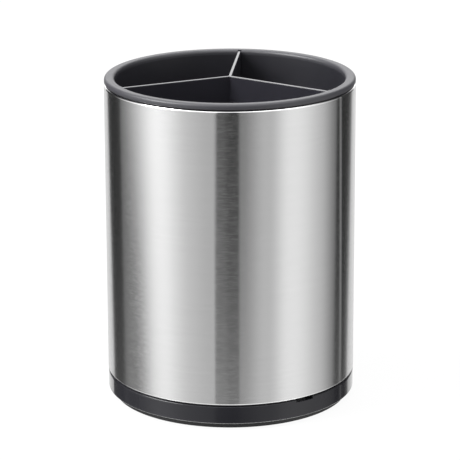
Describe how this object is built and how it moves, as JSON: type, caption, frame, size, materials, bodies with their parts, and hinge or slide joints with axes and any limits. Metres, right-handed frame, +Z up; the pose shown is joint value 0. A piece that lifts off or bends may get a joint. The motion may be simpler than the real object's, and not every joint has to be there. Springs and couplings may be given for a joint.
{
  "type": "utensil holder",
  "caption": "Cylindrical countertop utensil holder: brushed steel sleeve on a black swivel base, with a lift-out plastic liner and a Y-shaped divider.",
  "frame": {"origin": "on the table, under the middle of the foot", "axes": "+Z up along the axis of the sleeve, -Y towards the viewer, one divider arm along +Y"},
  "size_m": [0.13, 0.13, 0.1706],
  "materials": {
    "sleeve_steel": "fine brushing round the sleeve, satin",
    "band_black": "moulded, semi-gloss",
    "liner_black": "moulded, satin",
    "foot_black": "moulded, matt",
    "soft_black": "soft, matt",
    "bearing_plastic": "moulded, natural white",
    "bearing_steel": "polished",
    "fastener_steel": "zinc plated"
  },
  "bodies": {
    "foot": {"foot_plate": "foot_black", "anti_slip_ring": "soft_black", "retaining_washer": "fastener_steel", "retaining_screw": "fastener_steel"},
    "holder": {"base_housing": "band_black", "steel_sleeve": "sleeve_steel", "pivot_bush": "bearing_plastic"},
    "bearing": {"ball_cage": "bearing_plastic", "ball_01": "bearing_steel", "ball_02": "bearing_steel", "ball_03": "bearing_steel", "ball_04": "bearing_steel", "ball_05": "bearing_steel", "ball_06": "bearing_steel", "ball_07": "bearing_steel", "ball_08": "bearing_steel", "ball_09": "bearing_steel", "ball_10": "bearing_steel", "ball_11": "bearing_steel", "ball_12": "bearing_steel", "ball_13": "bearing_steel", "ball_14": "bearing_steel", "ball_15": "bearing_steel", "ball_16": "bearing_steel"},
    "liner": {"liner": "liner_black"},
    "divider": {"divider": "liner_black"}
  },
  "joints": [
    {"name": "swivel", "type": "hinge", "parent": "foot", "child": "holder", "pos_m": [0, 0, 0], "axis": [0, 0, 1], "continuous": true},
    {"name": "cage_orbit", "type": "hinge", "parent": "foot", "child": "bearing", "pos_m": [0, 0, 0], "axis": [0, 0, 1], "continuous": true},
    {"name": "liner_lift", "type": "slide", "parent": "holder", "child": "liner", "axis": [0, 0, 1], "range_m": [0, 0.15]},
    {"name": "divider_lift", "type": "slide", "parent": "liner", "child": "divider", "axis": [0, 0, 1], "range_m": [0, 0.15]}
  ],
  "couplings": [
    {"joint": "cage_orbit", "follows": "swivel", "ratio": 0.5}
  ]
}
